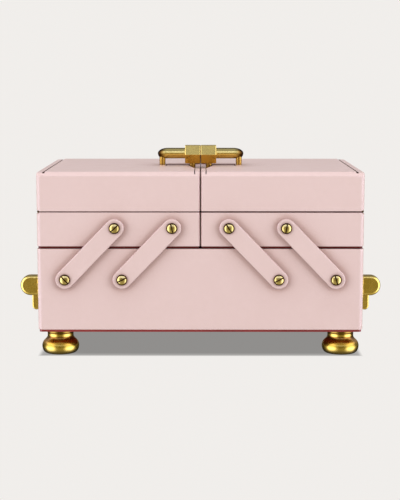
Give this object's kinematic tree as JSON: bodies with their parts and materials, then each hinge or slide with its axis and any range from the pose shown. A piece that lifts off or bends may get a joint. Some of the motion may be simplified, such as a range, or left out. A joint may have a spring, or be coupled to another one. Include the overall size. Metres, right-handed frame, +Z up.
{
  "type": "cantilever bobbin box",
  "caption": "Lacquered cantilever bobbin box: lidded trays swing up and out on parallel arms above a deep base case on bun feet, with drop side handles and a split top handle.",
  "frame": {"origin": "on the floor under the middle of the closed box, at the level of the feet's undersides", "axes": "+X to the right along the long side, +Y to the back, +Z up; the front faces -Y"},
  "size_m": [0.36, 0.2128, 0.2025],
  "materials": {
    "pink_lacquer": "smooth satin pink lacquer on board",
    "red_board": "dark red lacquer on board",
    "cast_brass": "polished, with a slightly aged tone",
    "turned_brass": "turned and polished"
  },
  "bodies": {
    "base": {"base_front_panel": "pink_lacquer", "base_back_panel": "pink_lacquer", "base_left_end": "pink_lacquer", "base_right_end": "pink_lacquer", "base_bottom_board": "red_board", "foot_front_left": "cast_brass", "foot_front_right": "cast_brass", "foot_back_left": "cast_brass", "foot_back_right": "cast_brass", "foot_screws": "turned_brass", "lower_arm_screws": "turned_brass", "lower_arm_washers": "turned_brass", "left_side_handle_plate": "cast_brass", "right_side_handle_plate": "cast_brass", "bail_pins": "cast_brass", "side_handle_screws": "cast_brass"},
    "left_outer_arms": {"left_front_outer_arm": "pink_lacquer", "left_back_outer_arm": "pink_lacquer"},
    "left_inner_arms": {"left_front_inner_arm": "pink_lacquer", "left_back_inner_arm": "pink_lacquer"},
    "left_tray": {"left_tray_front_panel": "pink_lacquer", "left_tray_back_panel": "pink_lacquer", "left_tray_outer_end": "pink_lacquer", "left_tray_inner_end": "pink_lacquer", "left_tray_bottom_board": "red_board", "left_tray_divider": "pink_lacquer", "left_upper_arm_screws": "turned_brass", "left_upper_arm_washers": "turned_brass", "left_hinge_tray_leaf": "turned_brass", "left_hinge_pin": "turned_brass"},
    "left_lid": {"left_lid_frame": "pink_lacquer", "left_lid_top": "pink_lacquer", "left_hinge_lid_leaf": "turned_brass", "left_handle_bar": "cast_brass", "left_handle_hex_sleeve": "cast_brass", "left_handle_posts": "cast_brass", "left_handle_screws": "turned_brass"},
    "left_bail": {"left_bail": "cast_brass"},
    "right_outer_arms": {"right_front_outer_arm": "pink_lacquer", "right_back_outer_arm": "pink_lacquer"},
    "right_inner_arms": {"right_front_inner_arm": "pink_lacquer", "right_back_inner_arm": "pink_lacquer"},
    "right_tray": {"right_tray_front_panel": "pink_lacquer", "right_tray_back_panel": "pink_lacquer", "right_tray_outer_end": "pink_lacquer", "right_tray_inner_end": "pink_lacquer", "right_tray_bottom_board": "red_board", "right_tray_divider": "pink_lacquer", "right_upper_arm_screws": "turned_brass", "right_upper_arm_washers": "turned_brass", "right_hinge_tray_leaf": "turned_brass", "right_hinge_pin": "turned_brass"},
    "right_lid": {"right_lid_frame": "pink_lacquer", "right_lid_top": "pink_lacquer", "right_hinge_lid_leaf": "turned_brass", "right_handle_bar": "cast_brass", "right_handle_hex_sleeve": "cast_brass", "right_handle_posts": "cast_brass", "right_handle_screws": "turned_brass"},
    "right_bail": {"right_bail": "cast_brass"}
  },
  "joints": [
    {"name": "left_tray_swing", "type": "hinge", "parent": "base", "child": "left_outer_arms", "pos_m": [-0.1328, 0, 0.07659], "axis": [0, -1, 0], "range_deg": [0, 87]},
    {"name": "left_inner_arm_swing", "type": "hinge", "parent": "base", "child": "left_inner_arms", "pos_m": [-0.0768, 0, 0.07659], "axis": [0, -1, 0], "range_deg": [0, 87]},
    {"name": "left_tray_level", "type": "hinge", "parent": "left_outer_arms", "child": "left_tray", "pos_m": [-0.08383, 0, 0.1273], "axis": [0, -1, 0], "range_deg": [-87, 0]},
    {"name": "left_lid_hinge", "type": "hinge", "parent": "left_tray", "child": "left_lid", "pos_m": [-0.1587, 0, 0.143], "axis": [0, -1, 0], "range_deg": [0, 95]},
    {"name": "left_bail_swing", "type": "hinge", "parent": "base", "child": "left_bail", "pos_m": [-0.1656, 0, 0.0667], "axis": [0, 1, 0], "range_deg": [0, 180]},
    {"name": "right_tray_swing", "type": "hinge", "parent": "base", "child": "right_outer_arms", "pos_m": [0.1328, 0, 0.07659], "axis": [0, 1, 0], "range_deg": [0, 87]},
    {"name": "right_inner_arm_swing", "type": "hinge", "parent": "base", "child": "right_inner_arms", "pos_m": [0.0768, 0, 0.07659], "axis": [0, 1, 0], "range_deg": [0, 87]},
    {"name": "right_tray_level", "type": "hinge", "parent": "right_outer_arms", "child": "right_tray", "pos_m": [0.08383, 0, 0.1273], "axis": [0, 1, 0], "range_deg": [-87, 0]},
    {"name": "right_lid_hinge", "type": "hinge", "parent": "right_tray", "child": "right_lid", "pos_m": [0.1587, 0, 0.143], "axis": [0, 1, 0], "range_deg": [0, 95]},
    {"name": "right_bail_swing", "type": "hinge", "parent": "base", "child": "right_bail", "pos_m": [0.1656, 0, 0.0667], "axis": [0, -1, 0], "range_deg": [0, 180]}
  ],
  "couplings": [
    {"joint": "left_inner_arm_swing", "follows": "left_tray_swing", "ratio": 1},
    {"joint": "left_tray_level", "follows": "left_tray_swing", "ratio": -1},
    {"joint": "right_inner_arm_swing", "follows": "right_tray_swing", "ratio": 1},
    {"joint": "right_tray_level", "follows": "right_tray_swing", "ratio": -1}
  ]
}
